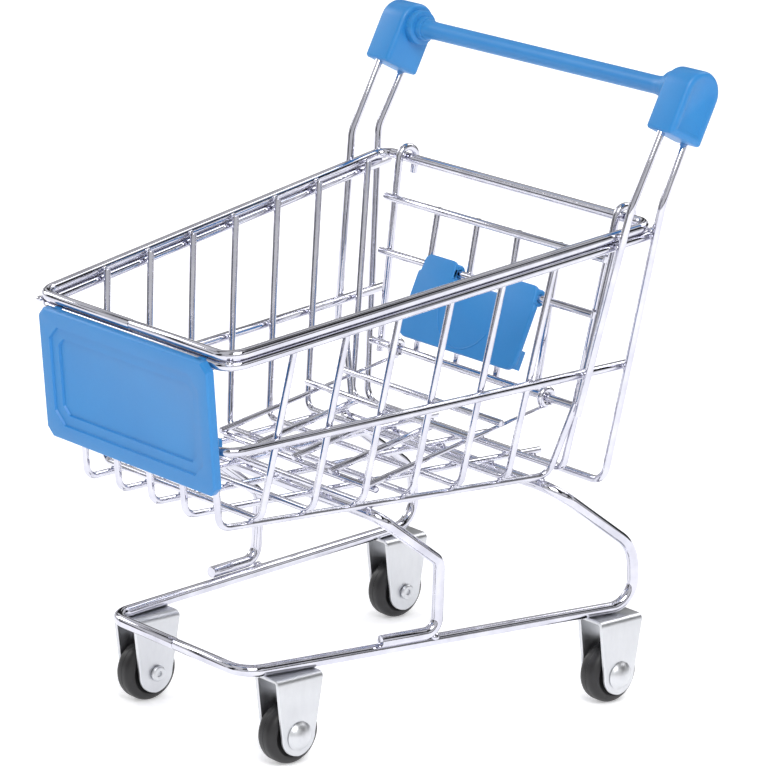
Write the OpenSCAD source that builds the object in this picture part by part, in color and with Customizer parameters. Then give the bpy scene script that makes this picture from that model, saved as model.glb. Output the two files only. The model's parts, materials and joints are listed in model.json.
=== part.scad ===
// Desk-size shopping cart: welded wire basket and base, four fixed casters, hinged rear gate,
// folding seat back, seat flap, front sign and plastic handle.
// The origin is on the floor under the middle of the cart, +Z is up and the front faces -Y.

/* [Overall] */
// Floor to the top of the handle caps
cart_h = 131; // [126:1:150]
// Front bar of the rim to the rear crossbar
basket_l = 96.4; // [92:0.1:100]

/* [Basket] */
// Width of the rim at its front corners
rim_w_front = 58.6; // [54:0.2:66]
// Width of the rim at the rear crossbar
rim_w_rear = 80.2; // [74:0.2:88]
// Height of the rim at the front
rim_z_front = 85.6; // [80:0.2:92]
// Height of the rim at the rear crossbar
rim_z_rear = 100.4; // [96:0.2:104]
// Height of the middle rail at the front
mid_z_front = 66.2; // [62:0.2:70]
// Height of the middle rail at the rear
mid_z_rear = 72.1; // [68:0.2:76]
// Height of the cross wires of the floor
floor_z = 51; // [47:0.2:55]
// Width between the floor corners at the front
floor_w_front = 47; // [43:0.2:52]
// Width between the floor corners at the rear
floor_w_rear = 67.4; // [62:0.2:72]
// How far the middle rail lies behind the rim at the front
front_slope = 1.9; // [1:0.1:4]
// Number of cross wires that go down one side, under the floor and up the other
hoop_n = 7; // [5:1:8]
// Rim front bar to the first cross wire
hoop_start = 14.2; // [12:0.1:18]
// Last cross wire to the rear crossbar
hoop_end = 10.4; // [8:0.1:16]
// Gap at the middle rail between the last cross wire and the one before it
hoop_last_gap = 13.9; // [10:0.1:18]
// How far a cross wire's top lies behind its bottom
hoop_lean = 3.7; // [0:0.1:6]
// The same shift at the last cross wire
hoop_lean_rear = 7; // [0:0.1:9]
// Number of wires that run down the front and along the floor
long_n = 5; // [3:2:7]
// Width across the outer long wires at the front
long_w_front = 41.2; // [36:0.2:46]
// Width across the outer long wires at the rear
long_w_rear = 62.4; // [56:0.2:66]

/* [Wires] */
// Base frame and front support wire
frame_wire_d = 2.4; // [2:0.1:3]
// Top rim wire
rim_wire_d = 2.1; // [1.8:0.1:2.6]
// Second rim and middle rail wire
rail_wire_d = 1.9; // [1.6:0.1:2.4]
// Basket mesh wire
mesh_wire_d = 1.4; // [1:0.1:1.8]
// Handle wire
handle_wire_d = 1.6; // [1.2:0.1:2]
// Gap left at each welded crossing
weld_gap = 0.05; // [0.04:0.01:0.08]

/* [Base] */
// Height of the rails' centre line
rail_z = 19.6; // [18.5:0.1:21]
// Rear crossbar to the rear axle
rear_axle_back = 0.9; // [-2:0.1:3]
// Width between the front wheels' middles
track_front = 44.8; // [40:0.2:50]
// Width between the rear wheels' middles
track_rear = 66; // [60:0.2:72]
// Front bar of the rim to the front axle
axle_setback = 22.2; // [18:0.2:26]
// Front bar of the base to the front axle
base_overhang = 10.1; // [8:0.1:12]
// Rear axle to the rearmost bend of the base
riser_overhang = 5.6; // [5:0.1:8]
// Rear crossbar to the bar that joins the tops of the risers
riser_top_ahead = 16.6; // [14:0.1:20]
// Front axle to the front support's top bar
support_top_back = 17; // [14:0.1:20]
// Front axle to the front support's upright
support_back = 32.4; // [28:0.1:36]
// Length of the front support's feet
support_foot = 13; // [8:0.1:16]

/* [Casters] */
// Wheel diameter
wheel_d = 12.5; // [11:0.1:13.5]
// Wheel width
wheel_w = 4.8; // [4:0.1:5.4]
// Thickness of the bracket's sheet
bracket_t = 0.8; // [0.6:0.1:1.2]
// Length of the bracket's top
bracket_l = 11.4; // [10:0.1:13]
// Width of the bracket's ears at the axle
ear_w = 8.2; // [7:0.1:9]
// Play between the wheel's hub and each ear
hub_play = 0.35; // [0.3:0.01:0.6]
// Diameter of the rivet that is the axle
rivet_d = 2.4; // [2:0.1:3]
// Diameter of the rivet's domed head
rivet_head_d = 5.8; // [5:0.1:6.6]
// Height of the rivet's domed head
rivet_head_h = 1.5; // [1:0.1:2]
// Radial play of the rivet in the wheel and the ears
axle_play = 0.05; // [0.02:0.01:0.1]

/* [Handle] */
// Handle bar diameter
bar_d = 3.7; // [3:0.1:4.5]
// Width between the middles of the end caps
cap_span = 84; // [80:0.5:92]
// Width of one end cap, across the cart
cap_w = 7.2; // [6:0.1:9]
// Depth of one end cap, front to back
cap_d = 9.5; // [9:0.1:11]
// Flat bottom of an end cap to the middle of its round top
cap_stem = 9.4; // [8:0.1:12]
// Angle that the handle leans back
handle_tilt = 26; // [20:1:30]
// Spacing of the two wires in one cap
wire_spacing = 7; // [6:0.1:7.4]
// Depth of the wire sockets and of the bar's socket
socket_depth = 4; // [3:0.1:5]
// Rim to the bend of the handle wires above it
bend_rise = 4.6; // [3:0.1:7]
// Rear crossbar to the bend of the rear handle wire
bend_back = 0.4; // [0:0.1:2]

/* [Sign] */
// Width of the front sign
sign_w = 52.4; // [48:0.2:54]
// Height of the front sign
sign_h = 26.4; // [22:0.2:30]
// Thickness of the front sign
sign_t = 2; // [1.6:0.1:2.6]
// How far the sign stands above the second rim's centre line
sign_rise = 0.9; // [0.4:0.1:1.4]

/* [Gate] */
// Width between the gate's side wires at the hinge
gate_w_top = 65; // [60:0.2:67]
// Width between the gate's side wires at the bottom
gate_w_bottom = 59; // [54:0.2:60]
// Angle that the gate leans forward at rest
gate_lean = 9; // [5:0.5:12]
// Hinge to the gate's upper cross wire
gate_cross_1 = 8.4; // [7:0.1:10]
// Hinge to the gate's middle cross wire
gate_cross_2 = 19.7; // [18:0.1:21]
// Hinge to the gate's lower cross wire, which the seat back turns on
gate_cross_3 = 38.4; // [36:0.1:39]
// Radial play of the gate's hooks on the crossbar
hook_play = 0.4; // [0.3:0.05:0.7]
// Diameter of the gate's side and cross wires
gate_wire_d = 1.6; // [1.4:0.1:1.8]
// Spacing of the two middle uprights, and of each to the next
upright_pitch = 12.2; // [11:0.1:12.6]

/* [Seat back] */
// Width between the outer wires
seat_w = 45.6; // [42:0.2:48]
// Hinge to the tips of the wires
seat_l = 47.4; // [44:0.2:49]
// Angle of the seat back below level at rest
seat_drop = 10.7; // [10:0.1:11]
// Radial play of the hinge loops
loop_play = 0.1; // [0.05:0.01:0.1]
// Hinge to the first cross wire
seat_cross_1 = 14; // [12:0.2:16]
// Hinge to the second cross wire
seat_cross_2 = 22.6; // [20:0.2:24]
// Tips to the cross wire under them
seat_cross_3 = 1.6; // [1:0.1:3]

/* [Seat flap] */
// Width of the flap
flap_w = 35.2; // [32:0.2:36]
// Flap's edge below the clips
flap_drop = 15.6; // [13:0.2:16]
// Flap's lobes above the clips
flap_rise = 2.2; // [1.6:0.1:2.6]
// Thickness of the flap
flap_t = 1.3; // [1:0.1:1.6]
// Angle of the flap away from the gate
flap_lean = 14.6; // [10:0.2:18]
// Radial play of the flap's clips
clip_play = 0.1; // [0.05:0.01:0.1]

/* [Hidden] */
$fn = 48;
bend_fat = 0.04; // a bend's wire is thicker by this, so that straight runs end inside it
bend_lap = 0.2; // how far a straight run reaches into a bend

// The rim rises to the rear, and the second rim lies square under it.
rim_slope = (rim_z_rear - rim_z_front) / basket_l;
rail_drop = ((rim_wire_d + rail_wire_d) / 2 + weld_gap) * sqrt(1 + pow(rim_slope, 2));
rim2_z = rim_z_front - rail_drop;

// The front of the basket slopes back as it goes down; everything on it follows this angle.
slope_angle = atan(front_slope / (rim2_z - mid_z_front));
sign_gap = rail_wire_d / 2 + weld_gap;
sign_front = (sign_t + sign_gap) * cos(slope_angle) + sign_rise * sin(slope_angle);

// Handle, from the bend of its rear wire above the crossbar to the middle of the caps' round tops
cap_r = cap_d / 2;
cap_x = cap_span / 2;
bar_z = cart_h - cap_r;
bend_z = rim_z_rear + bend_rise;
stem_dir = [0, -sin(handle_tilt), -cos(handle_tilt)];
foot_dir = [0, cos(handle_tilt), -sin(handle_tilt)];
rear_exit = stem_dir * cap_stem + foot_dir * wire_spacing / 2;
handle_back = bend_back + (bar_z + rear_exit.z - bend_z) * tan(handle_tilt) - rear_exit.y;

// The length is set by the basket, the sign in front of it and the handle behind it.
rim2_inset = (rim_wire_d - rail_wire_d) / 2;
cart_l = sign_front - rim2_inset + basket_l + handle_back + cap_r;
rim2_y = sign_front - cart_l / 2;
rim_y = rim2_y - rim2_inset;
cross_y = rim_y + basket_l;
bar_y = cross_y + handle_back;
mid_y = rim2_y + front_slope;
floor_y = rim2_y + (rim2_z - floor_z) * tan(slope_angle) + (rail_wire_d + mesh_wire_d) / 2;
long_z = floor_z - mesh_wire_d - weld_gap;
hoop_pitch = (basket_l - hoop_start - hoop_end - hoop_last_gap) / (hoop_n - 2);

function mix(a, b, t) = a + (b - a) * t;
function unit(v) = v / norm(v);
function rim_x(y) = mix(rim_w_front, rim_w_rear, (y - rim_y) / basket_l) / 2;
function rim_z(y) = mix(rim_z_front, rim_z_rear, (y - rim_y) / basket_l);
function mid_z(y) = mix(mid_z_front, mid_z_rear, (y - mid_y) / (cross_y - mid_y));
function floor_x(y) = mix(floor_w_front, floor_w_rear, (y - floor_y) / (cross_y - floor_y)) / 2;
// A cross wire's side is straight from the rim's inner face to the floor corner.
function hoop_top_x(y) = rim_x(y) - (rim_wire_d + mesh_wire_d) / 2 - weld_gap;
function hoop_share(y) = (rim_z(y) - mid_z(y)) / (rim_z(y) - floor_z);
rail_out = (rail_wire_d + mesh_wire_d) / 2 + weld_gap;
function mid_x(y) = mix(hoop_top_x(y), floor_x(y), hoop_share(y)) + rail_out;
function hoop_y(i) = i == hoop_n ? cross_y - hoop_end : rim_y + hoop_start + (i - 1) * hoop_pitch;
// The middle rail is straight from the first cross wire to the last.
function hoop_part(y) = (y - hoop_y(1)) / (hoop_y(hoop_n) - hoop_y(1));
function rail_x(y) = mix(mid_x(hoop_y(1)), mid_x(hoop_y(hoop_n)), hoop_part(y));
function at_x(v, s) = [v.x * s, v.y, v.z];
function flip(pts) = [for (i = [len(pts) - 1:-1:0]) at_x(pts[i], -1)];

module rod(p, q, d) {
    v = q - p;
    translate(p) rotate([0, acos(v.z / norm(v)), atan2(v.y, v.x)]) cylinder(d = d, h = norm(v));
}

// An arc of wire that starts at c - n * r along u and turns towards n.
module bend(c, n, u, turn, r, d) {
    w = cross(u, n);
    multmatrix([[-n.x, u.x, w.x, c.x], [-n.y, u.y, w.y, c.y], [-n.z, u.z, w.z, c.z]])
        rotate_extrude(angle = turn) translate([r, 0]) circle(d = d + bend_fat);
}

// A wire through the points, with each inner corner bent to its own radius.
module wire(pts, d, radii) {
    last = len(pts) - 1;
    dirs = [for (i = [0:last - 1]) unit(pts[i + 1] - pts[i])];
    turns = [for (i = [0:last]) i == 0 || i == last ? 0 : acos(dirs[i - 1] * dirs[i])];
    trims = [for (i = [0:last]) i == 0 || i == last ? 0 : radii[i - 1] * tan(turns[i] / 2) - bend_lap];
    for (i = [0:last - 1])
        rod(pts[i] + dirs[i] * trims[i], pts[i + 1] - dirs[i] * trims[i + 1], d);
    for (i = [1:last - 1]) {
        n = unit(dirs[i] - dirs[i - 1] * (dirs[i] * dirs[i - 1]));
        start = pts[i] - dirs[i - 1] * (trims[i] + bend_lap);
        bend(start + n * radii[i - 1], n, dirs[i - 1], turns[i], radii[i - 1], d);
    }
}

// Base frame: one wire from a butt seam at the front, along a rail, up the riser and across.
axle_y_front = rim_y + axle_setback;
axle_y_rear = cross_y + rear_axle_back;
base_y = axle_y_front - base_overhang;
riser_y = axle_y_rear + riser_overhang;
riser_x = rail_at(riser_y);
riser_h = 12.6;
riser_lean = 1.2;
base_r = [5, 5.4, 9, 5.4];
support_z = long_z - (mesh_wire_d + frame_wire_d) / 2 - weld_gap;
function rail_at(y) = mix(track_front, track_rear, (y - axle_y_front) / (axle_y_rear - axle_y_front)) / 2;

module base_frame() color("silver") {
    side = [[weld_gap / 2, base_y, rail_z], [rail_at(base_y), base_y, rail_z], [riser_x, riser_y, rail_z],
        [riser_x, riser_y - riser_lean, rail_z + riser_h], [riser_x, cross_y - riser_top_ahead, support_z]];
    wire(concat(side, flip(side)), frame_wire_d, concat(base_r, [for (i = [3:-1:0]) base_r[i]]));
}

// Front support: its feet lie along the rails, a little outside their tops, and its legs lean in.
foot_end_y = axle_y_front + support_back;
foot_out = 1.3;
foot_up = sqrt(pow(frame_wire_d + bend_fat + weld_gap, 2) - pow(foot_out, 2));
leg_h = 16.4;
leg_in = 0.4;
support_r = [3, 3, 3.4];

module front_support() color("silver") {
    foot_y = [foot_end_y - support_foot, foot_end_y];
    foot_x = [for (y = foot_y) rail_at(y) + foot_out];
    side = [[foot_x[0], foot_y[0], rail_z + foot_up], [foot_x[1], foot_y[1], rail_z + foot_up],
        [foot_x[1] - leg_in, foot_y[1] + leg_in, rail_z + leg_h],
        [foot_x[1] - 2 * leg_in, axle_y_front + support_top_back, support_z]];
    wire(concat(side, flip(side)), frame_wire_d, concat(support_r, [for (i = [2:-1:0]) support_r[i]]));
}

module top_rim() color("gainsboro") {
    side = [[weld_gap / 2, rim_y, rim_z_front], [rim_w_front / 2, rim_y, rim_z_front],
        [rim_w_rear / 2, cross_y, rim_z_rear]];
    wire(concat(side, flip(side)), rim_wire_d, [4, 3, 3, 4]);
}

// The second rim runs under the first, and both rails end behind the rear handle wire.
rail_r = 4;
rim2_end = cross_y + 1.6;
mid_end = cross_y - 1.4;

module second_rim() color("gainsboro") {
    side = [[rim_x(rim2_end) - rim2_inset, rim2_end, rim_z(rim2_end) - rail_drop],
        [rim_w_front / 2 - rim2_inset, rim2_y, rim2_z]];
    wire(concat(side, flip(side)), rail_wire_d, [rail_r, rail_r]);
}

module middle_rail() color("gainsboro") {
    side = [[rail_x(mid_end), mid_end, mid_z(mid_end)], [rail_x(mid_y), mid_y, mid_z_front]];
    wire(concat(side, flip(side)), rail_wire_d, [rail_r, rail_r]);
}

// Side wires lean, so a cross wire's top and bottom are shifted from its place at the middle rail.
module cross_wire(i) color("whitesmoke") {
    y = hoop_y(i);
    share = hoop_share(y);
    lean = mix(hoop_lean, hoop_lean_rear, pow((i - 1) / (hoop_n - 1), 2));
    y_top = y + lean * share;
    y_low = y - lean * (1 - share);
    top = [hoop_top_x(y_top), y_top, rim_z(y_top)];
    side = [top, [floor_x(y_low), y_low, floor_z]];
    wire(concat(side, flip(side)), mesh_wire_d, [2.4, 2.4]);
}

// Handle wires lie on the outside of the rim and the middle rail, so they spread as they rise.
wire_out = handle_wire_d / 2 + weld_gap;
rear_low_y = cross_y - 5.9;
rear_low_z = long_z - (mesh_wire_d + handle_wire_d) / 2 - weld_gap;
front_low_y = cross_y - 14.4;
front_low_z = mid_z(front_low_y) - 8.2;
handle_r = [8, 3.5];
function rim_out_x(y) = rim_x(min(y, cross_y)) + rim_wire_d / 2 + wire_out;
function rail_out_x(y) = rail_x(y) + rail_wire_d / 2 + wire_out;
// Socket end, bend and low end of the wire at the front (s = -1) or the rear (s = 1) of a cap
function handle_route(s, y_low, z_low) = let(
        exit = [cap_x, bar_y, bar_z] + stem_dir * cap_stem + foot_dir * wire_spacing / 2 * s,
        y_top = exit.y - (exit.z - bend_z) * tan(handle_tilt),
        y_mid = mix(y_top, y_low, (bend_z - mid_z(y_low)) / (bend_z - z_low)),
        spread = (rim_out_x(y_top) - rail_out_x(y_mid)) / (rim_z(y_top) - mid_z(y_mid)),
        x_low = rail_out_x(y_mid) - spread * (mid_z(y_mid) - z_low))
    [exit - stem_dir * (socket_depth - weld_gap), [x_low + spread * (bend_z - z_low), y_top, bend_z],
        [x_low, y_low, z_low]];
front_route = handle_route(-1, front_low_y, front_low_z);
rear_route = handle_route(1, rear_low_y, rear_low_z);

module handle_wire(s) color("silver")
    wire([for (p = front_route) at_x(p, s)], handle_wire_d, [handle_r[0]]);

module handle_wire_rear() color("silver")
    wire(concat(rear_route, flip(rear_route)), handle_wire_d, concat(handle_r, [handle_r[1], handle_r[0]]));

// Long wires run down the front and along the floor; the outer two turn up beside the handle wires.
long_top_y = rim2_y + (rail_wire_d + mesh_wire_d) / 2 / cos(slope_angle) + weld_gap;
long_y = long_top_y + (rim2_z - long_z) * tan(slope_angle);
long_end = rear_low_y + 1.6;
turn_y = front_low_y - 0.9;
module long_wire(i) color("whitesmoke") {
    share = 2 * (i - 1) / (long_n - 1) - 1;
    x_front = share * long_w_front / 2;
    outer = abs(share) == 1;
    y_end = outer ? turn_y : long_end;
    x_end = share * mix(long_w_front, long_w_rear, (y_end - long_y) / (rear_low_y - long_y)) / 2;
    run = [[x_front, long_top_y, rim2_z], [x_front, long_y, long_z], [x_end, y_end, long_z]];
    low = front_route[2];
    tip = [share * (low.x - (handle_wire_d + mesh_wire_d) / 2 - weld_gap), low.y + 1, low.z + 2.4];
    wire(outer ? concat(run, [tip]) : run, mesh_wire_d, [2.6, 3]);
}

module cap_shape() {
    circle(d = cap_d);
    translate([-cap_r, -cap_stem]) square([cap_d, cap_stem]);
}

boss_d = [7.2, 5];
boss_l = [1.8, 1.5];
boss_root = 0.5;
// An end cap: a flat-footed D with two stepped bosses on its inner face and a socket for each wire.
module handle_cap(s) color("dodgerblue") difference() {
    union() {
        translate([s * cap_x, bar_y, bar_z]) rotate([-handle_tilt, 0, 0]) rotate([90, 0, 90])
            linear_extrude(cap_w, center = true) cap_shape();
        for (i = [0, 1])
            translate([s * (cap_x - cap_w / 2 - i * boss_l[0] + boss_root), bar_y, bar_z])
                rotate([0, -90 * s, 0]) cylinder(d = boss_d[i], h = boss_l[i] + boss_root);
    }
    translate([s * (cap_x - cap_w / 2 + socket_depth), bar_y, bar_z]) rotate([0, -90 * s, 0])
        cylinder(d = bar_d + 2 * weld_gap, h = cap_w + socket_depth);
    for (route = [front_route, rear_route]) {
        way = unit(route[1] - route[0]);
        rod(at_x(route[0] - way * weld_gap, s), at_x(route[0] + way * (socket_depth + 1), s),
            handle_wire_d + 2 * weld_gap);
    }
}

module handle_bar() color("dodgerblue")
    translate([0, bar_y, bar_z]) rotate([0, 90, 0])
        cylinder(d = bar_d, h = cap_span - cap_w + 2 * (socket_depth - weld_gap), center = true);

// Sign: a chamfered plate with two stepped recesses, held on the rails by four clips.
clip_w = 1.8;
clip_gap = 0.2;
clip_x = (long_w_front + mesh_wire_d + clip_w) / 2 + clip_gap;
clip_wall = 0.8;
clip_drop = norm([front_slope, rim2_z - mid_z_front]);
frame_in = [3.2, 5.4];
recess = [0.5, 1];
corner_cut = [1.6, 2.6, 1.6];
module sign_outline(inset, cut) {
    x = sign_w / 2 - inset;
    h = sign_h - 2 * inset;
    right = [[x - cut, 0], [x, -cut], [x, cut - h], [x - cut, -h]];
    polygon(concat(right, [for (i = [3:-1:0]) [-right[i].x, right[i].y]]));
}
module front_sign() color("dodgerblue")
    translate([0, rim2_y, rim2_z]) rotate([slope_angle, 0, 0]) difference() {
        union() {
            translate([0, -sign_gap, sign_rise]) rotate([90, 0, 0]) linear_extrude(sign_t)
                sign_outline(0, corner_cut[0]);
            for (s = [-1, 1], z = [0, -clip_drop])
                translate([s * clip_x - clip_w / 2, -sign_gap - sign_t / 2, z - sign_gap - clip_wall])
                    cube([clip_w, sign_t / 2 + 2 * sign_gap + clip_wall, 2 * (sign_gap + clip_wall)]);
        }
        for (i = [0, 1])
            translate([0, -sign_gap - sign_t + recess[i], sign_rise - frame_in[i]]) rotate([90, 0, 0])
                linear_extrude(sign_t) sign_outline(frame_in[i], corner_cut[i + 1]);
        for (z = [0, -clip_drop])
            translate([0, 0, z]) rotate([0, 90, 0]) cylinder(r = sign_gap, h = sign_w, center = true);
        // The top clips are open above, clear of the rim.
        translate([-sign_w, -sign_gap - sign_t / 2, sign_rise]) cube([2 * sign_w, 4 * sign_t, 4 * sign_t]);
    }

// Casters: a bent sheet bracket welded under the rail, a wheel and a rivet.
axle_z = wheel_d / 2;
bracket_top = rail_z - frame_wire_d / 2 - weld_gap;
fork_in = wheel_w + 2 * hub_play;
fork_out = fork_in + 2 * bracket_t;
sheet_r = 1.2;
module ear_shape() {
    translate([0, axle_z]) circle(d = ear_w);
    right = [[ear_w / 2, axle_z], [bracket_l / 2, bracket_top - 1.4], [bracket_l / 2, bracket_top]];
    polygon(concat(right, [for (i = [2:-1:0]) [-right[i].x, right[i].y]]));
}
module rounded_top(w, r, top) {
    translate([-w / 2, 0]) square([w, top - r]);
    translate([-w / 2 + r, 0]) square([w - 2 * r, top]);
    for (s = [-1, 1]) translate([s * (w / 2 - r), top - r]) circle(r = r);
}
module bracket() color("lightgray") difference() {
    intersection() {
        rotate([90, 0, 0]) linear_extrude(bracket_l + 2, center = true) difference() {
            rounded_top(fork_out, sheet_r, bracket_top);
            translate([0, -1]) rounded_top(fork_in, sheet_r - bracket_t, bracket_top - bracket_t + 1);
        }
        rotate([90, 0, 90]) linear_extrude(fork_out + 2, center = true) ear_shape();
    }
    translate([0, 0, axle_z]) rotate([0, 90, 0])
        cylinder(d = rivet_d + 2 * axle_play, h = fork_out + 2, center = true);
}

module tread_shape() {
    shoulder = 1.6;
    web_in = 0.5;
    hub_wall = 1.9;
    bore = rivet_d / 2 + axle_play;
    translate([bore, -wheel_w / 2 + web_in]) square([wheel_d / 2 - shoulder - bore, wheel_w - 2 * web_in]);
    translate([bore, -wheel_w / 2 + shoulder]) square([wheel_d / 2 - bore, wheel_w - 2 * shoulder]);
    for (s = [-1, 1])
        translate([wheel_d / 2 - shoulder, s * (wheel_w / 2 - shoulder)]) circle(r = shoulder);
    translate([bore, -wheel_w / 2]) square([hub_wall, wheel_w]);
}
module wheel() color("#1c1c1e") translate([0, 0, axle_z]) rotate([0, 90, 0]) rotate_extrude() tread_shape();

// The rivet's dome is outside, and its drilled inner end is rolled over.
roll_d = 0.9;
roll_wall = 0.7;
module axle_rivet() color("lightgray") {
    dome_r = (pow(rivet_head_d / 2, 2) + pow(rivet_head_h, 2)) / (2 * rivet_head_h);
    face = fork_out / 2 + weld_gap;
    translate([0, 0, axle_z]) rotate([0, 90, 0]) {
        difference() {
            translate([0, 0, -face - roll_d / 2]) cylinder(d = rivet_d, h = 2 * face + roll_d);
            translate([0, 0, -face - roll_d]) cylinder(d = rivet_d - 2 * roll_wall, h = 3);
        }
        translate([0, 0, -face - roll_d / 2])
            rotate_extrude() translate([rivet_d / 2, 0]) circle(d = roll_d);
        intersection() {
            translate([0, 0, face]) cylinder(d = rivet_head_d + 1, h = rivet_head_h + 1);
            translate([0, 0, face + rivet_head_h - dome_r]) sphere(r = dome_r, $fn = 64);
        }
    }
}

module caster_at(side, rear) {
    y = rear ? axle_y_rear : axle_y_front;
    translate([side * rail_at(y), y, 0]) mirror([side < 0 ? 1 : 0, 0, 0]) children();
}

// Gate: it is drawn hanging straight down from the crossbar, then leaned forward.
hook_r = (rim_wire_d + gate_wire_d) / 2 + hook_play;
gate_front = -hook_r - gate_wire_d - weld_gap;
upright_y = gate_front + (gate_wire_d + mesh_wire_d) / 2 + weld_gap;
gate_low = gate_cross_3 + 2.2;
module gate_place() translate([0, cross_y, rim_z_rear]) rotate([-gate_lean, 0, 0]) children();
function gate_x(z) = mix(gate_w_top, gate_w_bottom, -z / gate_low) / 2;

hook_tail = 3.2;
module gate_side(s) color("whitesmoke") gate_place() {
    x = s * gate_w_top / 2;
    rod([s * gate_w_bottom / 2, -hook_r, -gate_low], [x, -hook_r, 0], gate_wire_d);
    translate([x, 0, 0]) rotate([90, 0, 90]) rotate_extrude(angle = 180) translate([hook_r, 0])
        circle(d = gate_wire_d + bend_fat);
    translate([x, -hook_r, 0]) sphere(d = gate_wire_d + bend_fat);
    rod([x, hook_r, bend_lap], [x, hook_r, -hook_tail], gate_wire_d);
}

module gate_cross(z) color("whitesmoke") gate_place() {
    half = gate_x(-z) + gate_wire_d / 2 + 0.4;
    rod([-half, gate_front, -z], [half, gate_front, -z], gate_wire_d);
}

module gate_upright(i) color("whitesmoke") gate_place() {
    x = (i - 2.5) * upright_pitch;
    rod([x, upright_y, -gate_cross_3 - 0.6], [x, upright_y, -gate_cross_1 + 0.6], mesh_wire_d);
}

// Seat back: it is drawn level, pointing forward from the hinge rod, then dropped to the floor.
loop_r = (gate_wire_d + mesh_wire_d) / 2 + loop_play;
module seat_place() gate_place() translate([0, gate_front, -gate_cross_3])
    rotate([gate_lean, 0, 0]) rotate([seat_drop, 0, 0]) children();

module seat_wire(i) color("whitesmoke") seat_place() {
    x = (i - 3) * seat_w / 4;
    outer = i == 1 || i == 5;
    if (outer) {
        translate([x, 0, 0]) rotate([90, 0, 90]) rotate_extrude() translate([loop_r, 0])
            circle(d = mesh_wire_d + bend_fat);
        rod([x, 0, -loop_r], [x, -seat_l, -loop_r], mesh_wire_d);
    } else {
        rod([x, -seat_cross_2 + 2, -loop_r], [x, -seat_l, -loop_r], mesh_wire_d);
    }
}

// Two cross wires lie on the long ones and the third is under their tips.
module seat_cross(i) color("whitesmoke") seat_place() {
    y = [-seat_cross_1, -seat_cross_2, -seat_l + seat_cross_3][i - 1];
    z = -loop_r + (mesh_wire_d + weld_gap) * (i == 3 ? -1 : 1);
    half = seat_w / 2 + (i == 3 ? 0.6 : 2.2);
    rod([-half, y, z], [half, y, z], mesh_wire_d);
}

// Seat flap: two clips turn on the gate's middle cross wire and carry a plate in front of it.
clip_in = gate_wire_d / 2 + clip_play;
clip_out = clip_in + 0.9;
clip_span = [7.4, 16.8];
module flap_place() gate_place()
    translate([0, gate_front, -gate_cross_2]) rotate([-flap_lean, 0, 0]) children();
lobe_w = clip_span[1] - clip_span[0];
lobe_x = (clip_span[0] + clip_span[1]) / 2;
lobe_r = 1.6;
flap_r = 2.4;
module flap_shape() {
    translate([-flap_w / 2, flap_r - flap_drop]) square([flap_w, flap_drop - lobe_r - flap_r]);
    translate([flap_r - flap_w / 2, -flap_drop]) square([flap_w - 2 * flap_r, flap_r + 1]);
    for (s = [-1, 1]) {
        translate([s * (flap_w / 2 - flap_r), flap_r - flap_drop]) circle(r = flap_r);
        translate([s * lobe_x - lobe_w / 2, -2]) square([lobe_w, flap_rise + 2 - lobe_r]);
        translate([s * lobe_x - lobe_w / 2 + lobe_r, -2]) square([lobe_w - 2 * lobe_r, flap_rise + 2]);
        for (t = [-1, 1])
            translate([s * lobe_x + t * (lobe_w / 2 - lobe_r), flap_rise - lobe_r]) circle(r = lobe_r);
    }
}
groove = 0.5;
groove_d = 17;
groove_top = 3;
module u_shape(d) {
    circle(d = d);
    translate([-d / 2, 0]) square([d, groove_top]);
}
module seat_flap() color("dodgerblue") flap_place() difference() {
    union() {
        translate([0, -clip_out + flap_t, 0]) rotate([90, 0, 0]) linear_extrude(flap_t) flap_shape();
        for (s = [-1, 1])
            translate([s * lobe_x, 0, 0])
                rotate([0, 90, 0]) cylinder(r = clip_out, h = lobe_w, center = true);
        // A small stop behind each lower corner
        for (s = [-1, 1])
            translate([s * (flap_w / 2 - 1.2) - 0.6, -clip_out + 0.3, 0.6 - flap_drop]) cube([1.2, 2.4, 4]);
    }
    rotate([0, 90, 0]) cylinder(r = clip_in, h = 2 * flap_w, center = true);
    translate([0, -clip_out + groove / 2, -6.4]) rotate([90, 0, 0]) linear_extrude(groove) difference() {
        u_shape(groove_d);
        u_shape(groove_d - 2 * groove);
    }
}

base_frame();
front_support();
top_rim();
second_rim();
middle_rail();
for (i = [1:hoop_n]) cross_wire(i);
for (i = [1:long_n]) long_wire(i);
handle_wire(-1);  // handle_wire_left
handle_wire(1);  // handle_wire_right
handle_wire_rear();
handle_bar();
handle_cap(-1);  // handle_cap_left
handle_cap(1);  // handle_cap_right
front_sign();
for (rear = [false, true], side = [-1, 1]) {
    corner = str(rear ? "rear_" : "front_", side < 0 ? "left" : "right");
    caster_at(side, rear) bracket();
    caster_at(side, rear) axle_rivet();
    caster_at(side, rear) wheel();
}
gate_side(-1);  // gate_side_left
gate_side(1);  // gate_side_right
for (i = [1:4]) gate_upright(i);
gate_cross(gate_cross_1);  // gate_cross_upper
gate_cross(gate_cross_2);  // gate_cross_middle
gate_cross(gate_cross_3);  // seat_hinge_rod
for (i = [1:5]) seat_wire(i);
for (i = [1:3]) seat_cross(i);
seat_flap();
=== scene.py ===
import bpy
import bmesh
import json
import math
from mathutils import Matrix, Vector


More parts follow.
